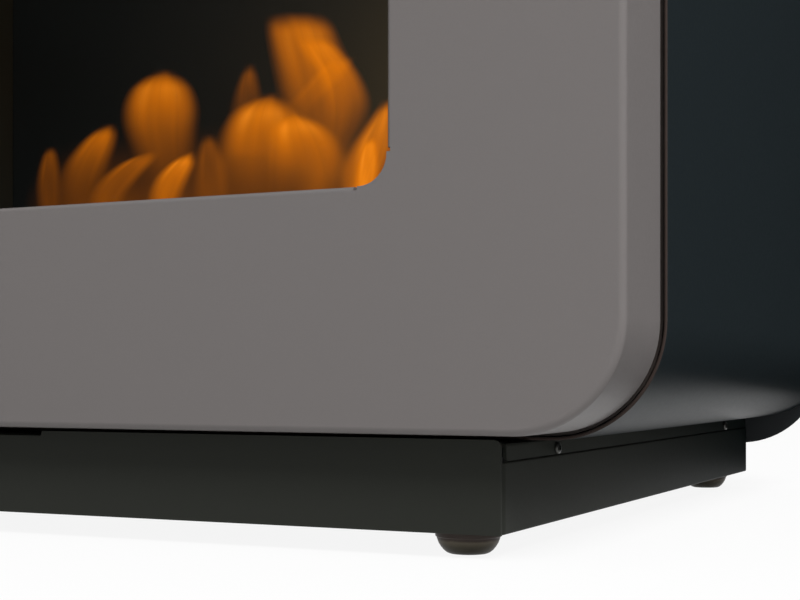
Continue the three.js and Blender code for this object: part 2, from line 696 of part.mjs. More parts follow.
const lidHalf = LID_LENGTH / 2;
const guideWeb = lidHalf + CLEARANCE;
const guideScrewX = guideWeb + SHEET + (GUIDE_FOOT - SHEET) / 2;
const guideRange = [-GUIDE_FRONT_REACH, GUIDE_LENGTH - GUIDE_FRONT_REACH];
const guideScrewRows = [guideRange[0] + GUIDE_SCREW_INSET, guideRange[1] - GUIDE_SCREW_INSET];

// Top plate: a shallow cover with turned-down edges and the flame slot.
function burnerTopPlate() {
  const half = PLATE_LENGTH / 2;
  const depth = [-PLATE_FRONT_REACH, PLATE_REAR_REACH];
  let body = pulledUp(roundedOutline([-half, half], depth, PLATE_RADIUS), [rimBottom, plateTop]);
  const innerDepth = [depth[0] + SHEET, depth[1] - SHEET];
  const inner = roundedOutline([-half + SHEET, half - SHEET], innerDepth, PLATE_RADIUS - SHEET);
  body = body.subtract(pulledUp(inner, [0, plateTop - SHEET]));
  const slotHalf = SLOT_LENGTH / 2;
  const slotReach = SLOT_WIDTH / 2;
  const slot = roundedOutline([-slotHalf, slotHalf], [-slotReach, slotReach], SLOT_RADIUS);
  body = body.subtract(pulledUp(slot, [0, 2 * plateTop]));
  for (const x of [-guideScrewX, guideScrewX]) {
    for (const y of guideScrewRows) {
      body = body.subtract(rodUp(holeRadius(GUIDE_SCREW), [floorTop, 2 * plateTop], x, y));
    }
  }
  return body;
}

// Right-hand guide: a Z-shaped strip that overlaps the edge of the lid.
function lidGuide() {
  const lipLow = lidTop + CLEARANCE;
  let body = block([guideWeb, guideWeb + SHEET], guideRange, [lidBottom, lipLow + SHEET]);
  body = body.add(block([guideWeb, guideWeb + GUIDE_FOOT], guideRange, [lidBottom, lidBottom + SHEET]));
  body = body.add(block([guideWeb - GUIDE_LIP, guideWeb + SHEET], guideRange, [lipLow, lipLow + SHEET]));
  for (const y of guideScrewRows) {
    body = body.subtract(rodUp(holeRadius(GUIDE_SCREW), [floorTop, 2 * plateTop], guideScrewX, y));
  }
  return body;
}

// Regulator lid: a flat slider with an upright tab on its front edge, which has a hook eye.
function regulatorLid() {
  const front = -LID_WIDTH / 2;
  const plate = block([-lidHalf, lidHalf], [front, LID_WIDTH / 2], [lidBottom, lidTop]);
  const tabHalf = TAB_WIDTH / 2;
  const tabPlane = [front, front + SHEET];
  const tabTall = [lidBottom - TAB_HEIGHT, lidTop + TAB_HEIGHT];
  const tab = pulledAlongY(roundedOutline([-tabHalf, tabHalf], tabTall, tabHalf / 2), tabPlane);
  const below = block([-tabHalf - SHEET, tabHalf + SHEET], [-LID_WIDTH, LID_WIDTH], [0, lidBottom]);
  const eye = rodAlongY(TAB_EYE_RADIUS, [-LID_WIDTH, LID_WIDTH], 0, lidTop + TAB_HEIGHT / 2);
  return plate.add(tab.subtract(below)).subtract(eye);
}

// ---------------------------------------------------------------- assembly

const fireplace = new THREE.Group();

// The assembly group measures Y from the face of the plinth.
const assembly = new THREE.Group();
assembly.position.y = -(frameFace + rearEnd) / 2;
fireplace.add(assembly);

// Plinth.
const rightPlinthSide = plinthSide();
assembly.add(piece('plinth_side_right', plinthPaint, rightPlinthSide));
assembly.add(piece('plinth_side_left', plinthPaint, mirrored(rightPlinthSide)));
assembly.add(piece('plinth_rear', plinthPaint, plinthRear()));
assembly.add(piece('plinth_front_cover', plinthPaint, plinthFrontCover()));
assembly.add(piece('plinth_top', plinthPaint, plinthTop()));

for (const [corner, x, y] of footPlaces) {
  const rubberFoot = piece(`foot_${corner}`, rubber, foot());
  rubberFoot.position.set(x, y, 0);
  assembly.add(rubberFoot);
  const footScrew = piece(`foot_screw_${corner}`, zincSteel, screw(FOOT_SCREW));
  footScrew.rotation.x = Math.PI;
  footScrew.position.set(x, y, FOOT_RECESS_DEPTH - CLEARANCE);
  assembly.add(footScrew);
}

for (const [side, direction] of [['left', -1], ['right', 1]]) {
  for (const [end, y] of [['front', lipScrewPlaces[0]], ['rear', lipScrewPlaces[1]]]) {
    const lipScrew = piece(`plinth_screw_${end}_${side}`, blackScrew, screw(LIP_SCREW));
    lipScrew.rotation.y = direction * (Math.PI / 2);
    lipScrew.position.set(direction * (plinthHalf + CLEARANCE), y, lipScrewHeight);
    assembly.add(lipScrew);
  }
}

// Casing, its bolts to the plinth, and the rear panel with its screws.
assembly.add(piece('outer_casing', casingPaint, outerCasing()));
for (const [corner, x, y] of bodyBoltPlaces) {
  const bolt = piece(`body_bolt_${corner}`, zincSteel, hexagonBolt(BODY_BOLT));
  bolt.position.set(x, y, casingBottom + SHEET + CLEARANCE);
  assembly.add(bolt);
}
assembly.add(piece('rear_panel', casingPaint, rearPanel()));
panelScrewPlaces.forEach(([x, z], index) => {
  const panelScrew = piece(`rear_panel_screw_${index + 1}`, blackScrew, screw(PANEL_SCREW));
  panelScrew.rotation.x = -Math.PI / 2;
  panelScrew.position.set(x, screwSeat, z);
  assembly.add(panelScrew);
});

// Front frame with its brackets, turned in quarter turns about the middle of the frame.
assembly.add(piece('front_frame', framePaint, frontFrame()));
for (const [side, quarter, reach] of bracketPlaces) {
  const arm = new THREE.Group();
  arm.position.z = frameCentre;
  arm.rotation.y = -quarter * (Math.PI / 2);
  assembly.add(arm);
  const bracket = piece(`frame_bracket_${side}`, heatproofBlack, frameBracket());
  bracket.position.x = reach;
  arm.add(bracket);
  const frameScrew = piece(`frame_screw_${side}`, blackScrew, screw(FRAME_SCREW));
  frameScrew.rotation.x = -Math.PI / 2;
  frameScrew.position.set(reach - BRACKET_SCREW_INSET, maskBack + CLEARANCE, 0);
  arm.add(frameScrew);
}

// Firebox.
assembly.add(piece('front_mask', heatproofBlack, frontMask()));
assembly.add(piece('firebox_floor', heatproofBlack, fireboxFloor()));
assembly.add(piece('firebox_side_right', heatproofBlack, fireboxSide()));
assembly.add(piece('firebox_side_left', heatproofBlack, mirrored(fireboxSide())));
assembly.add(piece('firebox_back', heatproofBlack, fireboxRear()));
assembly.add(piece('firebox_ceiling', heatproofBlack, fireboxCeiling()));
const linerMiddle = (fireboxFront + fireboxBack) / 2;
const supportHalf = casingHalf - CASING_RADIUS - SUPPORT_FLANGE - CLEARANCE;
for (const [side, direction] of [['left', Math.PI], ['right', 0]]) {
  const support = piece(`floor_support_${side}`, heatproofBlack, floorSupport());
  support.rotation.z = direction;
  support.position.set(Math.cos(direction) * supportHalf, linerMiddle, 0);
  assembly.add(support);
  const stay = piece(`ceiling_stay_${side}`, heatproofBlack, ceilingStay());
  stay.rotation.z = direction;
  stay.position.set(Math.cos(direction) * (floorHalf - STAY_INSET), linerMiddle, 0);
  assembly.add(stay);
}

// Burner insert.
const burner = new THREE.Group();
burner.position.y = BURNER_SETBACK;
assembly.add(burner);
burner.add(piece('burner_tank', burnerSteel, burnerTank()));
burner.add(piece('ceramic_block', ceramic, ceramicBlock()));
burner.add(piece('burner_top_plate', burnerSteel, burnerTopPlate()));
burner.add(piece('lid_guide_right', burnerSteel, lidGuide()));
burner.add(piece('lid_guide_left', burnerSteel, mirrored(lidGuide())));
let guideScrewNumber = 1;
for (const x of [-guideScrewX, guideScrewX]) {
  for (const y of guideScrewRows) {
    const guideScrew = piece(`guide_screw_${guideScrewNumber}`, zincSteel, screw(GUIDE_SCREW));
    guideScrew.position.set(x, y, lidBottom + SHEET + CLEARANCE);
    burner.add(guideScrew);
    guideScrewNumber += 1;
  }
}

// The lid is parked behind the slot, so the burner stands fully open.
const lid = piece('regulator_lid', burnerSteel, regulatorLid());
lid.position.y = LID_TRAVEL;
burner.add(lid);

export default fireplace;
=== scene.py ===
import math

import bmesh
import bpy
from mathutils import Matrix, Vector


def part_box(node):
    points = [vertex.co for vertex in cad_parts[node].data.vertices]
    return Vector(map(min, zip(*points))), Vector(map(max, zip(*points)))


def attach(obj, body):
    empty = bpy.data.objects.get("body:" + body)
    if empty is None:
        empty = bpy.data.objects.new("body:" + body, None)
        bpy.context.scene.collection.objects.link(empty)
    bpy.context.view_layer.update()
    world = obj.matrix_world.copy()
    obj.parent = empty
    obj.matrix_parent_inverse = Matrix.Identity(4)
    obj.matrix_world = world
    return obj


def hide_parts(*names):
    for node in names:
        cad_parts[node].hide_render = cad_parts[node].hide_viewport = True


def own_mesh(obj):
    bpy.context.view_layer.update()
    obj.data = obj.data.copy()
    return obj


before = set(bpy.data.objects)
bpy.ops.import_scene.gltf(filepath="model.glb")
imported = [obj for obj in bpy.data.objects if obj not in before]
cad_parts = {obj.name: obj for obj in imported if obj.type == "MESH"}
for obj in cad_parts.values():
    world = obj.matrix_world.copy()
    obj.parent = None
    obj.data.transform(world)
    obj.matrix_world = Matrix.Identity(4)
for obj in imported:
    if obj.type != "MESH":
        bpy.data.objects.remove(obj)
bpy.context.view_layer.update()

# ---------------------------------------------------------------- front frame
# One deep pan of 1.5 mm sheet steel with large round corners, powder coated in satin taupe grey.
# The straight edges of its window are folded inwards over a small radius, and a relief notch at
# both ends of each fold keeps the round corners of the window flat.

MM = 0.001


class Wire:
    """An output of a shader node. Sums on wires add Math nodes, and node() adds any other node."""

    def __init__(self, tree, socket=None):
        self.tree = tree
        self.socket = socket

    def node(self, kind, settings=None, inputs=None, output=0):
        made = self.tree.nodes.new(kind)
        for name, value in (settings or {}).items():
            if name != "stops":
                setattr(made, name, value)
                continue
            while len(made.color_ramp.elements) < len(value):
                made.color_ramp.elements.new(1.0)
            for stop, (place, colour) in zip(made.color_ramp.elements, value):
                stop.position = place
                stop.color = (*colour, 1.0)
        for name, value in (inputs or {}).items():
            self.feed(made.inputs[name], value)
        return Wire(self.tree, made.outputs[output])

    def feed(self, socket, value):
        if isinstance(value, Wire):
            self.tree.links.new(value.socket, socket)
        else:
            socket.default_value = value

    def maths(self, operation, first, second):
        return self.node("ShaderNodeMath", {"operation": operation}, {0: first, 1: second})

    def __add__(self, other):
        return self.maths("ADD", self, other)

    def __sub__(self, other):
        return self.maths("SUBTRACT", self, other)

    def __mul__(self, other):
        return self.maths("MULTIPLY", self, other)

    def at_most(self, other):
        return self.maths("MINIMUM", self, other)

    def at_least(self, other):
        return self.maths("MAXIMUM", self, other)


def new_finish(name, **constants):
    """A material with its first wire and its shader, whose plain sockets take the constants."""
    material = bpy.data.materials.new(name)
    material.use_nodes = True
    shader = material.node_tree.nodes["Principled BSDF"]
    for socket, value in constants.items():
        shader.inputs[socket.replace("_", " ")].default_value = value
    return material, Wire(material.node_tree), shader


def noise(nodes, scale, detail=2.0, stretch=(1.0, 1.0, 1.0)):
    place = nodes.node("ShaderNodeTexCoord", output=3)
    place = nodes.node("ShaderNodeMapping", {}, {"Vector": place, "Scale": stretch})
    return nodes.node("ShaderNodeTexNoise", {}, {"Vector": place, "Scale": scale, "Detail": detail})


def between(nodes, share, first, second):
    """A colour between two colours."""
    settings = {"data_type": "RGBA"}
    first = first if isinstance(first, Wire) else (*first, 1.0)
    second = second if isinstance(second, Wire) else (*second, 1.0)
    return nodes.node("ShaderNodeMix", settings, {0: share, 6: first, 7: second}, output=2)


def relief(nodes, shader, height, strength, distance):
    inputs = {"Height": height, "Strength": strength, "Distance": distance}
    nodes.feed(shader.inputs["Normal"], nodes.node("ShaderNodeBump", {}, inputs))


def powder_coat(name, colour, roughness, gloss, spread=0.06, peel=0.12):
    """Baked powder paint: an even colour with a fine orange peel and faint pigment flecks."""
    material, nodes, shader = new_finish(name, Specular_IOR_Level=gloss)
    cloud = noise(nodes, 6.0)
    bubbles = noise(nodes, 700.0)
    flecks = noise(nodes, 2400.0, 1.0)
    dark = [value * (1 - spread) for value in colour]
    light = [value * (1 + spread) for value in colour]
    share = cloud * 0.5 + flecks * 0.5
    nodes.feed(shader.inputs["Base Color"], between(nodes, share, dark, light))
    nodes.feed(shader.inputs["Roughness"], cloud * 0.08 + bubbles * 0.08 + (roughness - 0.08))
    relief(nodes, shader, bubbles, peel, 0.0001)
    return material


def block(low, high):
    """A box between two corners given in millimetres."""
    bm = bmesh.new()
    bmesh.ops.create_cube(bm, size=1.0)
    low, high = Vector(low) * MM, Vector(high) * MM
    bmesh.ops.scale(bm, vec=high - low, verts=bm.verts)
    bmesh.ops.translate(bm, vec=(low + high) / 2, verts=bm.verts)
    return bm


def edges_along(bm, axis, wanted=lambda middle: True):
    """The straight edges along an axis whose middle, in millimetres, is wanted."""
    found = []
    for edge in bm.edges:
        ends = [vert.co for vert in edge.verts]
        if abs((ends[1] - ends[0]).normalized()[axis]) > 0.999 and wanted((ends[0] + ends[1]) / (2 * MM)):
            found.append(edge)
    return found


def facing(bm, direction):
    bm.normal_update()
    return [face for face in bm.faces if face.normal.dot(Vector(direction)) > 0.999]


def round_off(bm, edges, radius, segments):
    bmesh.ops.bevel(
        bm, geom=edges, offset=radius * MM, offset_type="OFFSET", segments=segments,
        profile=0.5, affect="EDGES", material=-1,
    )


def remove_faces(bm, faces, context="FACES"):
    bmesh.ops.delete(bm, geom=faces, context=context)


def joined(bm, *others):
    """Adds finished shapes to the first one."""
    for other in others:
        mesh = bpy.data.meshes.new("part")
        other.to_mesh(mesh)
        other.free()
        bm.from_mesh(mesh)
        bpy.data.meshes.remove(mesh)
    return bm


def merged(bm):
    bmesh.ops.remove_doubles(bm, verts=bm.verts, dist=0.002 * MM)
    return bm


def thickened(bm, thickness, outside):
    """Gives a sheet its thickness, inwards from the side that the named direction shows."""
    merged(bm)
    bmesh.ops.recalc_face_normals(bm, faces=bm.faces)
    outside = Vector(outside)
    square = [face for face in bm.faces if abs(face.normal.dot(outside)) > 0.999]
    outermost = max(square, key=lambda face: face.calc_center_median().dot(outside))
    if outermost.normal.dot(outside) < 0:
        bmesh.ops.reverse_faces(bm, faces=bm.faces)
    bmesh.ops.solidify(bm, geom=bm.faces[:], thickness=thickness * MM)
    return bm


def as_object(name, bm, material):
    """The shape as an object at the origin, smooth between its creases."""
    bm.normal_update()
    for face in bm.faces:
        face.smooth = True
    for edge in bm.edges:
        edge.smooth = edge.is_manifold and edge.calc_face_angle() < math.radians(32)
    mesh = bpy.data.meshes.new(name)
    bm.to_mesh(mesh)
    bm.free()
    piece = bpy.data.objects.new(name, mesh)
    bpy.context.scene.collection.objects.link(piece)
    mesh.materials.append(material)
    return piece


def ease(piece, width, segments=2):
    """Breaks the creases of a piece by a small bevel and keeps its flat sides flat."""
    bevel = piece.modifiers.new("edges", "BEVEL")
    bevel.width, bevel.segments, bevel.limit_method = width * MM, segments, "ANGLE"
    bevel.angle_limit, bevel.harden_normals = math.radians(40), True
    weighted = piece.modifiers.new("flats", "WEIGHTED_NORMAL")
    weighted.keep_sharp = True


def stands_for(piece, node, body):
    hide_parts(node)
    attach(piece, body)


def trace(bm, start, steps):
    """Draws a line on from a vertex, one step after another, and gives its last vertex."""
    for step in steps:
        start = bmesh.ops.extrude_vert_indiv(bm, verts=[start])["verts"][0]
        bmesh.ops.translate(bm, vec=Vector(step) * MM, verts=[start])
    return start


def corners_mm(node):
    low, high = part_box(node)
    return low / MM, high / MM


FRAME_SHEET = 1.5
FRAME_RADIUS = 36
FRAME_EDGE_RADIUS = 2.4
WINDOW_TOP = 460.8
WINDOW_HALF = 171
WINDOW_RADIUS = 10
FOLD_DEPTH = 10
FOLD_RADIUS = 1.5
FOLD_STEPS = 5
FOLD_SHORTEST = 100
NOTCH_SETBACK = 0.5
NOTCH_WIDTH = 1.4
NOTCH_DEPTH = 1.3

frame_paint = powder_coat("frame_paint", (0.120, 0.110, 0.108), 0.46, 0.25)
frame_low, frame_high = corners_mm("front_frame")
frame_face = frame_low.y
frame_middle = (frame_low.z + frame_high.z) / 2
window_top = WINDOW_TOP - frame_middle

# A quarter of the window's outline: the round corner, a notch at both its ends and half a fold line.
corner_half, corner_top = WINDOW_HALF - WINDOW_RADIUS, window_top - WINDOW_RADIUS
notch_end = NOTCH_SETBACK + NOTCH_WIDTH
outline = bmesh.new()
corner = Vector((corner_half, frame_face, corner_top)) * MM
first = outline.verts.new(corner + Vector((WINDOW_RADIUS * MM, 0, 0)))
turned = bmesh.ops.spin(
    outline, geom=[first], cent=corner, axis=(0, 1, 0), angle=-math.pi / 2, steps=10, use_duplicate=False,
)
last = [item for item in turned["geom_last"] if isinstance(item, bmesh.types.BMVert)][0]
trace(outline, first, [
    (0, 0, -NOTCH_SETBACK), (NOTCH_DEPTH, 0, 0), (0, 0, -NOTCH_WIDTH),
    (FOLD_RADIUS - NOTCH_DEPTH, 0, 0), (0, 0, notch_end - corner_top),
])
trace(outline, last, [
    (-NOTCH_SETBACK, 0, 0), (0, 0, NOTCH_DEPTH), (-NOTCH_WIDTH, 0, 0),
    (0, 0, FOLD_RADIUS - NOTCH_DEPTH), (notch_end - corner_half, 0, 0),
])
for axis in "XZ":
    bmesh.ops.mirror(outline, geom=outline.verts[:] + outline.edges[:], axis=axis, merge_dist=0.01 * MM)

pan = block(
    (frame_low.x, frame_face, frame_low.z - frame_middle),
    (frame_high.x, frame_high.y, frame_high.z - frame_middle),
)
round_off(pan, edges_along(pan, 1), FRAME_RADIUS, 20)
remove_faces(pan, facing(pan, (0, 1, 0)))
round_off(pan, facing(pan, (0, -1, 0))[0].edges[:], FRAME_EDGE_RADIUS, 6)
remove_faces(pan, facing(pan, (0, -1, 0)), "FACES_ONLY")
pan = joined(pan, outline)
face_edges = [
    edge for edge in pan.edges
    if all(vert.co.y < (frame_face + 0.01) * MM for vert in edge.verts) and len(edge.link_faces) < 2
]
bmesh.ops.triangle_fill(pan, use_beauty=True, edges=face_edges, normal=(0, -1, 0))

# The folds: each straight edge of the window, which is longer than FOLD_SHORTEST, rolls in over a
# quarter round and then runs straight back.
for edge in [edge for edge in pan.edges if edge.is_boundary and edge.calc_length() > FOLD_SHORTEST * MM]:
    middle = (edge.verts[0].co + edge.verts[1].co) / 2
    if middle.y > (frame_face + 1) * MM:
        continue
    inwards = Vector((-math.copysign(1, middle.x), 0, 0))
    if abs(middle.z) > (window_top - 1) * MM:
        inwards = Vector((0, 0, -math.copysign(1, middle.z)))
    line = [edge]
    for step in range(1, FOLD_STEPS + 2):
        before, after = [min(index, FOLD_STEPS) * math.pi / (2 * FOLD_STEPS) for index in (step - 1, step)]
        move = inwards * FOLD_RADIUS * (math.sin(after) - math.sin(before))
        move += Vector((0, FOLD_RADIUS * (math.cos(before) - math.cos(after)), 0))
        if step > FOLD_STEPS:
            move = Vector((0, FOLD_DEPTH - FOLD_RADIUS, 0))
        made = bmesh.ops.extrude_edge_only(pan, edges=line)["geom"]
        line = [item for item in made if isinstance(item, bmesh.types.BMEdge) and not item.link_faces[1:]]
        line = [item for item in line if item.calc_length() > FOLD_SHORTEST * MM]
        ends = [item for item in made if isinstance(item, bmesh.types.BMVert)]
        bmesh.ops.translate(pan, vec=move * MM, verts=ends)
bmesh.ops.translate(pan, vec=(0, 0, frame_middle * MM), verts=pan.verts)
front_frame = as_object("front_frame_pan", thickened(pan, FRAME_SHEET, (0, -1, 0)), frame_paint)
ease(front_frame, 0.2)
stands_for(front_frame, "front_frame", "fireplace_body")

# ---------------------------------------------------------------- outer casing
# One wrapped sheet of 1.2 mm steel with large round edges, in satin anthracite. Its mouth stands
# open behind the frame, and a flange is turned in at the rear for the rear panel.

CASING_SHEET = 1.2
CASING_RADIUS = 39
REAR_FLANGE = 20
REAR_BEND = 2


def painted_light_and_shade_by_depth(material, start, full, colour):
    """Paints light and shade into a paint: turns it towards another colour between two places from front to
    rear, in millimetres.
    """
    nodes = Wire(material.node_tree)
    base = material.node_tree.nodes["Principled BSDF"].inputs["Base Color"]
    coat = Wire(nodes.tree, base.links[0].from_socket)
    spot = nodes.node("ShaderNodeTexCoord", output=3)
    depth = nodes.node("ShaderNodeSeparateXYZ", {}, {0: spot}, output=1)
    share = ((depth - start * MM) * (1 / ((full - start) * MM))).at_least(0.0).at_most(1.0)
    nodes.feed(base, between(nodes, share, coat, colour))


def bends_along(bm, axis):
    """The edges where a side that faces along an axis meets a side that doesn't."""
    return [
        edge for edge in bm.edges
        if len(edge.link_faces) == 2
        and abs(edge.link_faces[0].normal[axis] - edge.link_faces[1].normal[axis]) > 0.9
    ]


casing_paint = powder_coat("casing_paint", (0.0112, 0.0152, 0.0172), 0.32, 0.02)
casing_low, casing_high = corners_mm("outer_casing")

# Painted light: the paint turns a lighter brown at the cut edge round the mouth, where the edge catches
# light in the gap behind the frame.
painted_light_and_shade_by_depth(casing_paint, casing_low.y + 0.5, casing_low.y + 0.25, (0.034, 0.025, 0.022))

shell = block(casing_low, casing_high)
round_off(shell, edges_along(shell, 1), CASING_RADIUS, 24)
remove_faces(shell, facing(shell, (0, -1, 0)))
rear = facing(shell, (0, 1, 0))
bmesh.ops.inset_region(shell, faces=rear, thickness=REAR_FLANGE * MM, use_even_offset=True)
remove_faces(shell, rear)
round_off(shell, bends_along(shell, 1), REAR_BEND, 4)
casing = as_object("casing_wrap", thickened(shell, CASING_SHEET, (1, 0, 0)), casing_paint)
ease(casing, 0.45)
stands_for(casing, "outer_casing", "fireplace_body")

# ---------------------------------------------------------------- rear panel
# A flat plate with round corners that closes the casing and reaches down behind the plinth. Two
# bands of upright slots let the warm air out. It is coated like the casing, a little rougher.

PANEL_RADIUS = 42
SLOT_PITCH = 24
SLOT_COUNT = 13
SLOT_WIDTH = 6
SLOT_HEIGHT = 40
SLOT_BAND_INSET = 70


def apply_modifiers(piece):
    """Keeps what the modifiers give as the piece's own mesh."""
    shaped = piece.evaluated_get(bpy.context.evaluated_depsgraph_get())
    mesh = bpy.data.meshes.new_from_object(shaped)
    piece.modifiers.clear()
    piece.data = mesh


def cut(piece, *cutters):
    """Takes the cutters' shapes out of a piece."""
    tool = as_object("cutter", merged(joined(*cutters)), piece.data.materials[0])
    saw = piece.modifiers.new("cut", "BOOLEAN")
    saw.operation, saw.solver, saw.object = "DIFFERENCE", "EXACT", tool
    apply_modifiers(piece)
    bpy.data.objects.remove(tool)


panel_paint = powder_coat("panel_paint", (0.012, 0.0145, 0.016), 0.5, 0.3)
panel_low, panel_high = corners_mm("rear_panel")
plate = block(panel_low, panel_high)
round_off(plate, edges_along(plate, 1), PANEL_RADIUS, 20)
rear_panel = as_object("rear_panel_plate", plate, panel_paint)
half, tall = SLOT_WIDTH / 2, SLOT_HEIGHT / 2
slots = []
for band in (casing_low.z + SLOT_BAND_INSET, casing_high.z - SLOT_BAND_INSET):
    for index in range(SLOT_COUNT):
        x = (index - (SLOT_COUNT - 1) / 2) * SLOT_PITCH
        slot = block((x - half, panel_low.y - 1, band - tall), (x + half, panel_high.y + 1, band + tall))
        round_off(slot, edges_along(slot, 1), half - 0.05, 4)
        slots.append(slot)
cut(rear_panel, *slots)
ease(rear_panel, 0.25)
stands_for(rear_panel, "rear_panel", "fireplace_body")

# ---------------------------------------------------------------- plinth sides
# Two bent channels of 1.2 mm steel in dark grey paint: a wall, a wide flange for the feet below, a
# narrow one above, and a rounded front edge that shows as a light line beside the front cover.

PLINTH_SHEET = 1.2
PLINTH_BEND = 3
SIDE_TOP = 31
TOP_FLANGE = 12
FLANGE_BEND = 0.7
TAB_WIDTH = 20
TAB_PLAY = 0.3
TAB_ROOT = 0.8
LIP_SCREW_ROWS = (-118.65, 129.35)


def split(bm, place, axis):
    """Draws an edge across the faces at a place, in millimetres, along an axis."""
    direction = Vector((0, 0, 0))
    direction[axis] = 1
    geom = bm.verts[:] + bm.edges[:] + bm.faces[:]
    bmesh.ops.bisect_plane(bm, geom=geom, plane_co=direction * place * MM, plane_no=direction)
    bm.normal_update()


# Painted shade: towards the rear the paint turns darker and bluer, for the shade under the casing.
plinth_paint = powder_coat("plinth_paint", (0.0235, 0.0248, 0.0215), 0.4, 0.02)
painted_light_and_shade_by_depth(plinth_paint, -70, 180, (0.0045, 0.0072, 0.0070))

side_low, side_high = corners_mm("plinth_side_right")
inner = side_high.x - TOP_FLANGE
tab_outer = side_high.x - PLINTH_SHEET - TAB_PLAY
for side in ("right", "left"):
    channel = block(side_low, (side_high.x, side_high.y, SIDE_TOP))
    split(channel, inner, 0)
    remove_faces(channel, [
        face for face in channel.faces
        if face.normal.y > 0.9 or face.normal.x < -0.9
        or (face.calc_center_median().x < inner * MM and face.normal.z > -0.9)
    ])
    round_off(channel, edges_along(channel, 2, lambda middle: middle.x > inner + 1), PLINTH_BEND, 8)
    round_off(channel, bends_along(channel, 2), FLANGE_BEND, 3)
    thickened(channel, PLINTH_SHEET, (1, 0, 0))
    for y in LIP_SCREW_ROWS:
        tab_low = (tab_outer - PLINTH_SHEET, y - TAB_WIDTH / 2, SIDE_TOP - TAB_ROOT)
        joined(channel, block(tab_low, (tab_outer, y + TAB_WIDTH / 2, side_high.z)))
    if side == "left":
        bmesh.ops.scale(channel, vec=(-1, 1, 1), verts=channel.verts)
        bmesh.ops.reverse_faces(channel, faces=channel.faces)
    plinth_side = as_object(f"plinth_channel_{side}", channel, plinth_paint)
    ease(plinth_side, 0.2)
    stands_for(plinth_side, f"plinth_side_{side}", "fireplace_body")

# ---------------------------------------------------------------- plinth front cover
# A thin plate in front of the sides, its top corners rounded and its top edge folded back, with a
# shallow finger notch in the middle. Same dark grey paint as the sides.

COVER_RADIUS = 2.5
COVER_FOLD_INSET = 3
FINGER_NOTCH_HALF = 25
FINGER_NOTCH_DEPTH = 1.8

cover_low, cover_high = corners_mm("plinth_front_cover")
cover_back = cover_low.y + PLINTH_SHEET
fold_bottom, fold_half = cover_high.z - PLINTH_SHEET, cover_high.x - COVER_FOLD_INSET
cover = block(cover_low, (cover_high.x, cover_back, cover_high.z))
round_off(cover, edges_along(cover, 1, lambda middle: middle.z > cover_high.z - 1), COVER_RADIUS, 8)
split(cover, fold_bottom, 2)
split(cover, -fold_half, 0)
split(cover, fold_half, 0)
fold = [
    face for face in facing(cover, (0, 1, 0))
    if face.calc_center_median().z > fold_bottom * MM and abs(face.calc_center_median().x) < fold_half * MM
]
drawn = bmesh.ops.extrude_face_region(cover, geom=fold)["geom"]
remove_faces(cover, fold, "FACES_ONLY")
bmesh.ops.translate(
    cover, vec=(0, (cover_high.y - cover_back) * MM, 0),
    verts=[item for item in drawn if isinstance(item, bmesh.types.BMVert)],
)
front_cover = as_object("plinth_cover_plate", merged(cover), plinth_paint)
finger = block(
    (-FINGER_NOTCH_HALF, cover_low.y - 1, cover_high.z - FINGER_NOTCH_DEPTH),
    (FINGER_NOTCH_HALF, cover_high.y + 1, cover_high.z + FINGER_NOTCH_DEPTH),
)
round_off(finger, edges_along(finger, 1, lambda middle: middle.z < cover_high.z), 1.0, 4)
cut(front_cover, finger)
ease(front_cover, 0.25)
stands_for(front_cover, "plinth_front_cover", "fireplace_body")

# ---------------------------------------------------------------- plinth top
# A shallow tray turned over, which carries the casing. Its side lips stand on the plinth's sides.
# Each shows as a narrow plate with a free, round front end, where the front lip is cut back.

LIP_RELIEF = 5.5
LIP_BEND = 0.9
LIP_END_RADIUS = 2

top_low, top_high = corners_mm("plinth_top")
relief_line = top_high.x - LIP_RELIEF
tray = block(top_low, top_high)
remove_faces(tray, facing(tray, (0, 0, -1)))
round_off(tray, edges_along(tray, 2, lambda middle: middle.y > 0), PLINTH_BEND, 8)
split(tray, -relief_line, 0)
split(tray, relief_line, 0)
remove_faces(tray, [
    face for face in facing(tray, (0, -1, 0)) if abs(face.calc_center_median().x) > relief_line * MM
])
round_off(tray, bends_along(tray, 2), LIP_BEND, 4)
lip_ends = [
    vert for vert in tray.verts
    if abs(vert.co.x) > (relief_line + 0.01) * MM
    and vert.co.y < (top_low.y + 0.01) * MM and vert.co.z < (top_low.z + 0.01) * MM
]
bmesh.ops.bevel(
    tray, geom=lip_ends, offset=LIP_END_RADIUS * MM, offset_type="OFFSET", segments=6,
    profile=0.5, affect="VERTICES", material=-1,
)
plinth_top = as_object("plinth_top_tray", thickened(tray, PLINTH_SHEET, (0, 0, 1)), plinth_paint)
ease(plinth_top, 0.35, 3)
stands_for(plinth_top, "plinth_top", "fireplace_body")

# ---------------------------------------------------------------- feet
# Four brownish rubber bumps, moulded with a reddish dark band near the top and a recess below in which the
# head of the fixing screw sits. A paler belt under the band is a painted highlight.

# The outline of a foot's section, as (radius, height) in millimetres.
FOOT_HEIGHT = 7.7
FOOT_PROFILE = [
    (4.6, 3.6), (4.6, 0.35), (4.9, 0.0), (6.3, 0.0), (7.2, 0.35), (8.2, 1.15), (9.2, 2.35),
    (9.95, 3.6), (10.4, 4.8), (10.55, 5.4), (10.95, 5.75), (11.0, 6.0), (11.0, 7.5),
    (10.8, FOOT_HEIGHT), (2.2, FOOT_HEIGHT), (2.2, 3.6),
]


def lathed(profile, steps):
    """The shape that a line of (radius, height) points gives when it is turned round the Z axis."""
    bm = bmesh.new()
    start = bm.verts.new(Vector((profile[0][0], 0, profile[0][1])) * MM)
    trace(bm, start, [(b[0] - a[0], 0, b[1] - a[1]) for a, b in zip(profile, profile[1:])])
    bmesh.ops.spin(
        bm, geom=bm.verts[:] + bm.edges[:], cent=(0, 0, 0), axis=(0, 0, 1),
        angle=2 * math.pi, steps=steps, use_merge=True, use_duplicate=False,
    )
    return merged(bm)


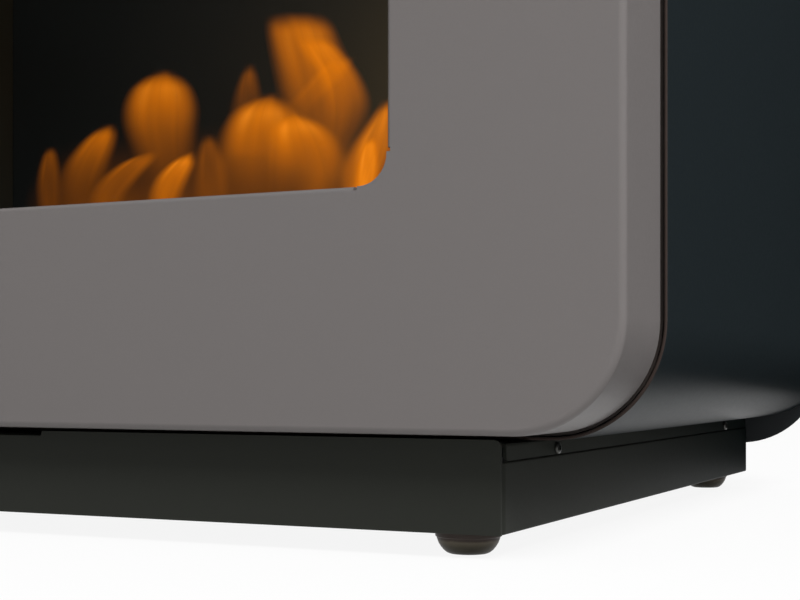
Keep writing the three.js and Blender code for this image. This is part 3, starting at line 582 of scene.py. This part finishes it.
rubber, nodes, shader = new_finish("foot_rubber", Roughness=0.42, Specular_IOR_Level=0.12)
place = nodes.node("ShaderNodeTexCoord", output=3)
height = nodes.node("ShaderNodeSeparateXYZ", {}, {0: place}, output=2)
haze = noise(nodes, 260.0, 3.0)
level = height * (1 / (FOOT_HEIGHT * MM)) + haze * 0.16 - 0.08
# The reddish band is the rubber's own colour; the paler belt under it, fading darker towards the bottom, is
# a painted highlight.
band_and_highlight_ramp = nodes.node("ShaderNodeValToRGB", {"stops": [
    (0.0, (0.042, 0.038, 0.026)), (0.36, (0.066, 0.059, 0.042)), (0.54, (0.115, 0.100, 0.074)),
    (0.64, (0.042, 0.030, 0.026)), (1.0, (0.038, 0.029, 0.025)),
]}, {0: level})
nodes.feed(shader.inputs["Base Color"], between(nodes, haze * 0.2, band_and_highlight_ramp, (0.075, 0.066, 0.05)))
relief(nodes, shader, haze, 0.15, 0.0002)

for corner_name in ("front_left", "front_right", "rear_left", "rear_right"):
    foot_low, foot_high = corners_mm(f"foot_{corner_name}")
    centre = (foot_low + foot_high) / 2
    bump = lathed(FOOT_PROFILE + FOOT_PROFILE[:1], 48)
    bmesh.ops.recalc_face_normals(bump, faces=bump.faces)
    bmesh.ops.translate(bump, vec=Vector((centre.x, centre.y, 0)) * MM, verts=bump.verts)
    rubber_foot = as_object(f"rubber_foot_{corner_name}", bump, rubber)
    stands_for(rubber_foot, f"foot_{corner_name}", "fireplace_body")

# ---------------------------------------------------------------- screws
# Small pan head screws with a hexagon socket, blackened in the plinth's lip and the rear panel and
# zinc plated elsewhere.

# The shank's radius, the head's radius, the head's height (at place HEAD_HEIGHT) and the shank's
# length, in millimetres.
FOOT_SCREW = (1.9, 3.9, 2.2, 11)
LIP_SCREW = (1, 2.1, 1.2, 5)
PANEL_SCREW = (1.7, 3.6, 1.5, 8)
FRAME_SCREW = (1.9, 3.8, 2.2, 6)
GUIDE_SCREW = (1.4, 2.8, 1.5, 3.6)
HEAD_HEIGHT = 2
LIP_SCREW_SEAT = 205.3

screw_black, nodes, shader = new_finish("screw_black", Metallic=0.85, Roughness=0.3)
specks = noise(nodes, 1500.0)
nodes.feed(shader.inputs["Base Color"], between(nodes, specks, (0.055, 0.055, 0.052), (0.1, 0.1, 0.092)))
relief(nodes, shader, specks, 0.1, 0.0001)

zinc, nodes, shader = new_finish("zinc_plate", Metallic=1.0)
place = nodes.node("ShaderNodeTexCoord", output=3)
spangle = nodes.node("ShaderNodeTexVoronoi", {}, {"Vector": place, "Scale": 300.0})
film = noise(nodes, 90.0, 4.0)
share = spangle * 0.4 + film * 0.4
nodes.feed(shader.inputs["Base Color"], between(nodes, share, (0.42, 0.43, 0.45), (0.66, 0.65, 0.61)))
nodes.feed(shader.inputs["Roughness"], film * 0.25 + 0.25)


def screw_shape(shank, head, rise, length):
    """A screw along Z: its head rises from Z = 0, and its shank points down."""
    socket = head * 0.42
    bm = lathed([
        (0, -length), (shank * 0.6, -length), (shank, 0.8 - length), (shank, 0), (head, 0),
        (head, rise * 0.35), (head * 0.93, rise * 0.7), (head * 0.72, rise * 0.95), (head * 0.55, rise),
        (socket, rise), (socket, rise * 0.3), (0, rise * 0.3),
    ], 24)
    for vert in bm.verts:
        reach = math.hypot(vert.co.x, vert.co.y) / MM
        if vert.co.z > 0 and abs(reach - socket) < 0.01:
            turn = math.atan2(vert.co.y, vert.co.x) % (math.pi / 3) - math.pi / 6
            shrink = math.cos(math.pi / 6) / math.cos(turn)
            vert.co.x, vert.co.y = vert.co.x * shrink, vert.co.y * shrink
    bmesh.ops.recalc_face_normals(bm, faces=bm.faces)
    return bm


def set_screw(node, material, size, seat, axis, turn):
    """Sets a screw with its head's underside on the seat, its head along the turned Z axis."""
    body = "burner_insert" if node.startswith("guide_screw") else "fireplace_body"
    slot = "black_screw" if material == screw_black else "zinc_steel"
    bm = screw_shape(*size)
    turned = Matrix.Rotation(math.radians(turn), 3, axis)
    bmesh.ops.rotate(bm, cent=(0, 0, 0), matrix=turned, verts=bm.verts)
    bmesh.ops.translate(bm, vec=Vector(seat) * MM, verts=bm.verts)
    stands_for(as_object(f"{node}_turned", bm, material), node, body)


for node in sorted(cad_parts):
    if "screw" not in node:
        continue
    low, high = corners_mm(node)
    x, y, z = (low + high) / 2
    if node.startswith("foot_screw"):
        set_screw(node, zinc, FOOT_SCREW, (x, y, low.z + FOOT_SCREW[HEAD_HEIGHT]), "X", 180)
    elif node.startswith("plinth_screw"):
        way = math.copysign(1, x)
        set_screw(node, screw_black, LIP_SCREW, (way * LIP_SCREW_SEAT, y, z), "Y", 90 * way)
    elif node.startswith("rear_panel_screw"):
        set_screw(node, screw_black, PANEL_SCREW, (x, high.y - PANEL_SCREW[HEAD_HEIGHT], z), "X", -90)
    elif node.startswith("frame_screw"):
        set_screw(node, zinc, FRAME_SCREW, (x, low.y + FRAME_SCREW[HEAD_HEIGHT], z), "X", 90)
    else:
        set_screw(node, zinc, GUIDE_SCREW, (x, y, high.z - GUIDE_SCREW[HEAD_HEIGHT]), "X", 0)

# ---------------------------------------------------------------- parts that keep their shape
# The mask that carries the frame, the brackets, the firebox with its supports and the rear of the
# plinth, each bent or cut from 1.2 mm sheet, and the four bolts between casing and plinth. A copy of
# each gets broken edges, and its finish: heatproof black, paint or zinc.

firebox_black, nodes, shader = new_finish("firebox_black", Specular_IOR_Level=0.2)
soot = noise(nodes, 9.0, 4.0)
grit = noise(nodes, 1100.0, 1.0)
dust = between(nodes, soot * 0.7 + grit * 0.3, (0.0055, 0.0085, 0.0095), (0.012, 0.016, 0.017))
nodes.feed(shader.inputs["Base Color"], dust)
nodes.feed(shader.inputs["Roughness"], soot * 0.2 + 0.55)
relief(nodes, shader, grit, 0.25, 0.0001)


def eased_copy(node, body, material, width=0.25):
    """A merged copy of a part's own mesh with its flats joined and its edges broken."""
    bm = bmesh.new()
    bm.from_mesh(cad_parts[node].data)
    merged(bm)
    bmesh.ops.dissolve_limit(bm, angle_limit=math.radians(1), verts=bm.verts, edges=bm.edges)
    piece = as_object(f"{node}_sheet", bm, material)
    ease(piece, width)
    stands_for(piece, node, body)


mask_black = powder_coat("mask_black", (0.027, 0.0215, 0.019), 0.5, 0.2)
eased_copy("front_mask", "fireplace_body", mask_black)
for node in ("firebox_floor", "firebox_side_left", "firebox_side_right", "firebox_back", "firebox_ceiling"):
    eased_copy(node, "fireplace_body", firebox_black)
for node in (
    "frame_bracket_right", "frame_bracket_top", "frame_bracket_left", "frame_bracket_bottom",
    "floor_support_left", "floor_support_right", "ceiling_stay_left", "ceiling_stay_right",
    "body_bolt_front_left", "body_bolt_front_right", "body_bolt_rear_left", "body_bolt_rear_right",
):
    eased_copy(node, "fireplace_body", zinc)
eased_copy("plinth_rear", "fireplace_body", plinth_paint)

# ---------------------------------------------------------------- burner tank and ceramic block
# The tank is pressed from stainless sheet, with an outward rim that lies on the firebox floor. A
# block of white ceramic fibre in it soaks up the fuel, so that nothing spills.

BURNER_SHEET = 1.2
TANK_RIM = 11
TANK_RADIUS = 8

steel, nodes, shader = new_finish("burner_steel", Metallic=1.0)
strokes = noise(nodes, 1.0, 4.0, (30.0, 2600.0, 2600.0))
clouds = noise(nodes, 14.0, 3.0)
bare = between(nodes, strokes * 0.5 + clouds * 0.4, (0.40, 0.385, 0.365), (0.62, 0.61, 0.59))
nodes.feed(shader.inputs["Base Color"], bare)
nodes.feed(shader.inputs["Roughness"], strokes * 0.18 + clouds * 0.1 + 0.2)
relief(nodes, shader, strokes, 0.2, 0.0001)

ceramic, nodes, shader = new_finish("ceramic_fibre", Specular_IOR_Level=0.2, Roughness=0.9)
fibres = noise(nodes, 320.0, 5.0, (1.0, 2.4, 2.4))
stain = (noise(nodes, 16.0, 3.0) - 0.42).at_least(0) * 3
nodes.feed(shader.inputs["Base Color"], between(nodes, stain, (0.72, 0.70, 0.66), (0.42, 0.36, 0.29)))
relief(nodes, shader, fibres, 0.6, 0.0008)

# Only the top side of the block that is drawn first stays: the rim, from which the tank hangs.
tank_low, tank_high = corners_mm("burner_tank")
tank = block((tank_low.x, tank_low.y, tank_high.z - 5), tank_high)
round_off(tank, edges_along(tank, 2), TANK_RADIUS + TANK_RIM, 12)
remove_faces(tank, [face for face in tank.faces if face.normal.z < 0.9])
bmesh.ops.inset_region(
    tank, faces=tank.faces[:], thickness=(TANK_RIM + BURNER_SHEET) * MM,
    use_even_offset=True, use_boundary=True,
)
bed = [face for face in facing(tank, (0, 0, 1)) if len(face.verts) > 4]
lowered = bmesh.ops.extrude_face_region(tank, geom=bed)["geom"]
remove_faces(tank, bed, "FACES_ONLY")
lowered_verts = [item for item in lowered if isinstance(item, bmesh.types.BMVert)]
drop = tank_high.z - tank_low.z - BURNER_SHEET
bmesh.ops.translate(tank, vec=(0, 0, -drop * MM), verts=lowered_verts)
burner_tank = as_object("burner_tank_pressing", thickened(tank, BURNER_SHEET, (0, 0, 1)), steel)
ease(burner_tank, 0.25)
stands_for(burner_tank, "burner_tank", "burner_insert")

eased_copy("ceramic_block", "burner_insert", ceramic, 0.8)

# ---------------------------------------------------------------- burner top plate, lid and guides
# The top plate turns down at its edges and has the flame slot. Two Z-shaped guides are screwed to
# it, and the regulator lid slides in them over the slot, pulled by a hook in its tab's eye.

PLATE_RADIUS = 6
FLAME_SLOT_MIDDLE = -30.65
FLAME_SLOT_HALF = 95
FLAME_SLOT_REACH = 25
FLAME_SLOT_RADIUS = 5
TAB_HALF = 12
TAB_RISE = 12
TAB_RADIUS = 6
TAB_EYE_RADIUS = 3

plate_low, plate_high = corners_mm("burner_top_plate")
plate = block(plate_low, plate_high)
round_off(plate, edges_along(plate, 2), PLATE_RADIUS, 8)
remove_faces(plate, facing(plate, (0, 0, -1)))
top_plate = as_object("burner_plate_pressing", thickened(plate, BURNER_SHEET, (0, 0, 1)), steel)
opening = block(
    (-FLAME_SLOT_HALF, FLAME_SLOT_MIDDLE - FLAME_SLOT_REACH, plate_low.z - 4),
    (FLAME_SLOT_HALF, FLAME_SLOT_MIDDLE + FLAME_SLOT_REACH, plate_high.z + 4),
)
round_off(opening, edges_along(opening, 2), FLAME_SLOT_RADIUS, 6)
cut(top_plate, opening)
ease(top_plate, 0.3)
stands_for(top_plate, "burner_top_plate", "burner_insert")

for node in ("lid_guide_left", "lid_guide_right"):
    eased_copy(node, "burner_insert", steel)

lid_low, lid_high = corners_mm("regulator_lid")
lid_top = lid_low.z + BURNER_SHEET
slab = block(lid_low, (lid_high.x, lid_high.y, lid_top))
tab = block((-TAB_HALF, lid_low.y, lid_low.z + 0.1), (TAB_HALF, lid_low.y + BURNER_SHEET, lid_high.z))
round_off(tab, edges_along(tab, 1, lambda middle: middle.z > lid_top), TAB_RADIUS, 8)
eye_tab = as_object("eye_tab", tab, steel)
hole = bmesh.new()
eye = TAB_EYE_RADIUS * MM
bmesh.ops.create_cone(hole, cap_ends=True, segments=24, radius1=eye, radius2=eye, depth=8 * MM)
bmesh.ops.rotate(hole, cent=(0, 0, 0), matrix=Matrix.Rotation(math.pi / 2, 3, "X"), verts=hole.verts)
bmesh.ops.translate(hole, vec=Vector((0, lid_low.y, lid_top + TAB_RISE / 2)) * MM, verts=hole.verts)
cut(eye_tab, hole)
slab.from_mesh(eye_tab.data)
bpy.data.objects.remove(eye_tab)
regulator_lid = as_object("regulator_lid_slider", slab, steel)
ease(regulator_lid, 0.3)
stands_for(regulator_lid, "regulator_lid", "regulator")

# ---------------------------------------------------------------- flames
# One row of soft flames that stands in the slot, as thin bowed sheets whose light fades towards their
# edges. They ride on the burner.

SHEET_TURN = math.radians(25)
HAZE_TURN = math.radians(5)
CROSS_TURN = math.radians(86)
CROSS_WIDTH = 0.75
CROSS_STRENGTH = 0.4
CROSSED = ("left", "tall", "bright_low", "arch", "arch_right", "horn", "right")

burning, nodes, shader = new_finish(
    "burning_vapour", Base_Color=(0, 0, 0, 1), Roughness=1.0, Specular_IOR_Level=0.0, Emission_Strength=1.0,
)
place = nodes.node("ShaderNodeUVMap", {"uv_map": "petal"})
warmth = nodes.node("ShaderNodeAttribute", {"attribute_name": "warmth"}, output=2)
veins = nodes.node("ShaderNodeMapping", {}, {"Vector": place, "Scale": (2.6, 1.0, 1.0)})
veins = nodes.node("ShaderNodeTexNoise", {}, {"Vector": veins, "Scale": 1.4, "Detail": 1.0})
glow = (warmth * (veins * 1.3 + 0.4)).at_most(0.97)
colours = nodes.node("ShaderNodeValToRGB", {"stops": [
    (0.0, (0.80, 0.20, 0.003)), (0.4, (0.90, 0.225, 0.003)),
    (0.75, (1.0, 0.29, 0.014)), (1.0, (1.0, 0.38, 0.05)),
]}, {0: glow})
nodes.feed(shader.inputs["Emission Color"], colours)
nodes.feed(shader.inputs["Alpha"], glow)

# Each flame: its name, how far it stands behind the middle of the slot, its warmth, the share of
# it that its foot has, and its path as (x, z, half width) in millimetres.
FLAMES = [
    ("haze", 3, 0.13, 0.9, [(4, 108, 92), (4, 120, 92), (4, 134, 92), (4, 150, 90)]),
    ("far_left", 2, 0.2, 0.4, [
        (-85, 113.2, 4.2), (-85.6, 136, 4.7), (-86.2, 148.1, 5.2), (-85.6, 156.8, 4.7),
        (-85, 163.5, 3.1), (-84.4, 167.3, 1.6),
    ]),
    ("left", 6, 0.48, 0.04, [
        (-72.5, 113.1, 5.2), (-72.5, 135.7, 7.8), (-71.3, 147.7, 9.8), (-66.6, 159.5, 9.8),
        (-60.7, 168.2, 7.7), (-56, 174.1, 4.6), (-53.7, 176.8, 2.1),
    ]),
    ("left_low", -6, 0.4, 0.3, [
        (-46.5, 111.4, 4.5), (-46.5, 133.4, 6.5), (-44.8, 142.6, 7.5), (-37.9, 150.2, 8),
        (-29.5, 156.2, 6.5), (-23.4, 159.5, 4), (-20.6, 161.2, 2),
    ]),
    ("tall", 8, 0.62, 0.04, [
        (-20.8, 111.5, 6), (-20.8, 133.5, 8.6), (-21.3, 147.6, 10.1), (-23, 159.5, 12.1),
        (-25.3, 173.7, 15.2), (-25.3, 184, 15.7), (-24.7, 192.5, 12.6), (-23.6, 198, 7.1), (-23, 200.3, 3),
    ]),
    ("bright_low", -8, 0.7, 0.4, [
        (-14.2, 110.2, 4.4), (-13.1, 131.6, 5.9), (-11.5, 140.7, 6.9), (-7.7, 148.2, 6.9),
        (-3.3, 153.4, 5.4), (-0.1, 156.9, 2.9), (1.5, 158.6, 1.5),
    ]),
    ("middle", 4, 0.2, 0.4, [
        (6.1, 110.4, 4.9), (6.1, 131.9, 6.9), (5.5, 143.4, 7.4), (5, 154.9, 6.4),
        (4.5, 162.7, 3.9), (4.5, 167.3, 2),
    ]),
    ("arch", 0, 0.88, 0.03, [
        (31.4, 109.3, 7.7), (31.4, 130.4, 14.5), (31.9, 141.6, 17.4), (32.4, 155, 17.4),
        (34, 168.3, 15.4), (36.1, 177.1, 11.1), (38.1, 181.4, 5.8), (39.2, 183.1, 2.4),
    ]),
    ("faint_tip", 12, 0.25, 0.3, [
        (19.4, 157.4, 7.9), (19.4, 171.1, 8.4), (19.9, 182.6, 6.4), (20.4, 190.4, 4.4),
        (21, 195.8, 2.5), (21.5, 199.4, 1),
    ]),
    ("arch_right", -9, 0.88, 0.02, [
        (64.5, 107.6, 7.5), (64.5, 128, 14), (64.5, 138.8, 16.3), (63.5, 149.7, 16.3),
        (60.5, 160.8, 14), (58.1, 167.5, 9.4), (56.6, 171.1, 4.2), (56.1, 172.8, 1.9),
    ]),
    ("horn", 6, 0.5, 0.2, [
        (60.6, 109, 4.8), (60.6, 136.7, 7.7), (60.6, 154.5, 9.6), (62.2, 168.7, 13.4),
        (61.1, 182.5, 16.3), (57.6, 195.7, 15.8), (53.5, 206.4, 14), (51.4, 213.4, 13), (50.4, 216.7, 12.1),
    ]),
    ("horn_belly", 5, 0.5, 0.15, [
        (66, 140, 7), (69.4, 159.9, 8), (73.5, 168.2, 9), (74.2, 179.1, 10), (70.5, 190.5, 9), (64, 200, 8),
        (58, 208, 6),
    ]),
    ("horn_stroke", 7, 0.3, 0.05, [
        (44, 160, 4), (45, 168, 5), (50.1, 178, 6), (57.9, 185.2, 6), (66.9, 193.3, 6), (72, 198, 4),
    ]),
    ("right_core", 0, 0.75, 0.9, [
        (84, 118, 3), (86, 136, 4), (87.5, 147, 4.5), (88.5, 155, 3.5), (89.5, 160, 2),
    ]),
    ("right", -2, 0.6, 0.55, [
        (84.3, 107.4, 4.2), (84.3, 127.7, 6.5), (85.3, 138.5, 7.9), (88.2, 149.1, 9.3),
        (91.5, 157.5, 8.3), (94.4, 164.6, 5.5), (96.8, 170.4, 3.2), (98.2, 174.6, 1.4),
    ]),
]


def along_path(path, share):
    """A point on the smooth line through the path's points."""
    place = min(share * (len(path) - 1), len(path) - 1.001)
    index = int(place)
    part = place - index
    a, b, c, d = [Vector(path[min(max(index + k, 0), len(path) - 1)]) for k in (-1, 0, 1, 2)]
    bend = 2 * a - 5 * b + 4 * c - d
    return 0.5 * (2 * b + (c - a) * part + bend * part ** 2 + (3 * b - a - 3 * c + d) * part ** 3)


def smooth_step(value):
    value = min(max(value, 0), 1)
    return value * value * (3 - 2 * value)


def flame_sheet(name, path, depth, turn, strength, base):
    """A grid drawn out along the path, bowed like a petal, whose warmth fades at its blurred edges."""
    bm = bmesh.new()
    bmesh.ops.create_grid(bm, x_segments=20, y_segments=44, size=0.5)
    layer = bm.loops.layers.uv.new("petal")
    for face in bm.faces:
        for loop in face.loops:
            loop[layer].uv = (loop.vert.co.x + 0.5, loop.vert.co.y + 0.5)
    blur = 0.24 * max(point[2] for point in path) + 1
    last = Vector(path[-1])
    onwards = (last - Vector(path[-2])).normalized() * blur
    path = path + [(last.x + onwards.x, last.y + onwards.y, last.z * 0.8)]
    tall = path[-1][1] - path[0][1]
    levels = []
    for vert in bm.verts:
        across, share = vert.co.x * 2, vert.co.y + 0.5
        x, z, half = along_path(path, share)
        half *= 0.92
        reach = (half + blur) * across
        bow = 0.3 * half * (across ** 2 - 0.5)
        x += reach * math.cos(turn) - bow * math.sin(turn)
        y = FLAME_SLOT_MIDDLE + depth + reach * math.sin(turn) + bow * math.cos(turn)
        vert.co = Vector((x, y, z)) * MM
        rise = base + (1 - base) * smooth_step((share - 0.2) * 1.6)
        side = smooth_step((half + blur - abs(reach)) / (2 * blur))
        tip = smooth_step((path[-1][1] - z) / (2.2 * blur))
        foot = smooth_step((z - path[0][1]) / (0.12 * tall))
        levels.append(strength * rise * side * tip * foot)
    piece = as_object(name, bm, burning)
    piece.data.attributes.new("warmth", "FLOAT", "POINT").data.foreach_set("value", levels)
    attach(piece, "burner_insert")
    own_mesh(piece)


# Each flame is a broad sheet. The larger ones have a fainter one across, for a body from all sides.
for name, depth, strength, base, path in FLAMES:
    flame_sheet(f"flame_{name}", path, depth, HAZE_TURN if name == "haze" else SHEET_TURN, strength, base)
    if name in CROSSED:
        slim = [(x, z, half * CROSS_WIDTH) for x, z, half in path]
        flame_sheet(f"flame_{name}_cross", slim, depth + 1, CROSS_TURN, strength * CROSS_STRENGTH, base)

# ---------------------------------------------------------------- studio and camera
# A white floor and white surroundings with soft light from above and in front, and a dark screen and
# a dark mat to the right that only reflections see. A small warm lamp lights the firebox.


def seen_plainly(nodes):
    """1 for the rays that show a thing to the camera, straight or by a mirror, and 0 for light."""
    rays = nodes.node("ShaderNodeLightPath").socket.node.outputs
    camera, glossy, clear = [
        Wire(nodes.tree, rays[f"Is {kind} Ray"]) for kind in ("Camera", "Glossy", "Transmission")
    ]
    return camera.at_least(glossy).at_least(clear)


floor_mesh = bmesh.new()
bmesh.ops.create_grid(floor_mesh, x_segments=1, y_segments=1, size=6.0)
floor_paper, nodes, shader = new_finish("floor_paper", Base_Color=(0.7, 0.7, 0.7, 1.0), Roughness=0.8)
white = nodes.node("ShaderNodeEmission", {}, {"Color": (1, 1, 1, 1), "Strength": 1.0})
mixed = nodes.node("ShaderNodeMixShader", {}, {
    0: seen_plainly(nodes) * 0.9, 1: Wire(nodes.tree, shader.outputs[0]), 2: white,
})
nodes.feed(nodes.tree.nodes["Material Output"].inputs[0], mixed)
floor = as_object("studio_floor", floor_mesh, floor_paper)

screen_cloth, nodes, shader = new_finish(
    "screen_cloth", Base_Color=(0.01, 0.011, 0.012, 1.0), Roughness=1.0, Specular_IOR_Level=0.0,
)
for name, low, high in (
    ("studio_screen", (200, 300, 0.5), (3200, 320, 2600)),
    ("studio_mat", (264, -400, 0.3), (3200, 3000, 0.8)),
):
    dark = as_object(name, block(low, high), screen_cloth)
    dark.visible_camera = dark.visible_diffuse = dark.visible_shadow = dark.visible_transmission = False

world = bpy.data.worlds.new("studio")
world.use_nodes = True
bpy.context.scene.world = world
nodes = Wire(world.node_tree)
direction = nodes.node("ShaderNodeTexCoord", output=0)
rightwards, depthwise, upwards = [
    nodes.node("ShaderNodeSeparateXYZ", {}, {0: direction}, output=axis) for axis in range(3)
]
level = upwards * 0.35 - depthwise * 0.15 + rightwards * 0.1 + 0.28
ambient = between(nodes, level, (0, 0, 0), (1.0, 0.995, 0.98))
background = world.node_tree.nodes["Background"]
nodes.feed(background.inputs[0], between(nodes, seen_plainly(nodes), ambient, (1, 1, 1)))
background.inputs[1].default_value = 1.0


def soft_lamp(name, kind, place, aim, energy, size, colour=(1, 1, 1)):
    data = bpy.data.lights.new(name, kind)
    data.energy, data.color = energy, colour
    if kind == "AREA":
        data.shape, data.size = "DISK", size
    else:
        data.shadow_soft_size = size
    lamp = bpy.data.objects.new(name, data)
    lamp.location = place
    lamp.rotation_euler = (Vector(aim) - Vector(place)).to_track_quat("-Z", "Y").to_euler()
    bpy.context.scene.collection.objects.link(lamp)
    return lamp


softbox = soft_lamp("softbox", "AREA", (1.4, -1.1, 1.8), (0, 0, 0.2), 69.0, 1.0)
fire_glow = soft_lamp("fire_glow", "POINT", (0.125, 0.035, 0.2), (0, 0, 0), 2.6, 0.04, (1.0, 0.5, 0.2))
softbox.visible_glossy = fire_glow.visible_glossy = False

camera_data = bpy.data.cameras.new("camera")
camera_data.sensor_width = 36.0
camera_data.lens = 66.9
camera_data.shift_y = 0.0934
camera = bpy.data.objects.new("camera", camera_data)
camera.location = (0.3768, -0.6048, 0.0587)
camera.rotation_euler = (math.radians(90), 0, math.radians(25.464))
bpy.context.scene.collection.objects.link(camera)
bpy.context.scene.camera = camera
bpy.context.scene.view_settings.view_transform = "Standard"
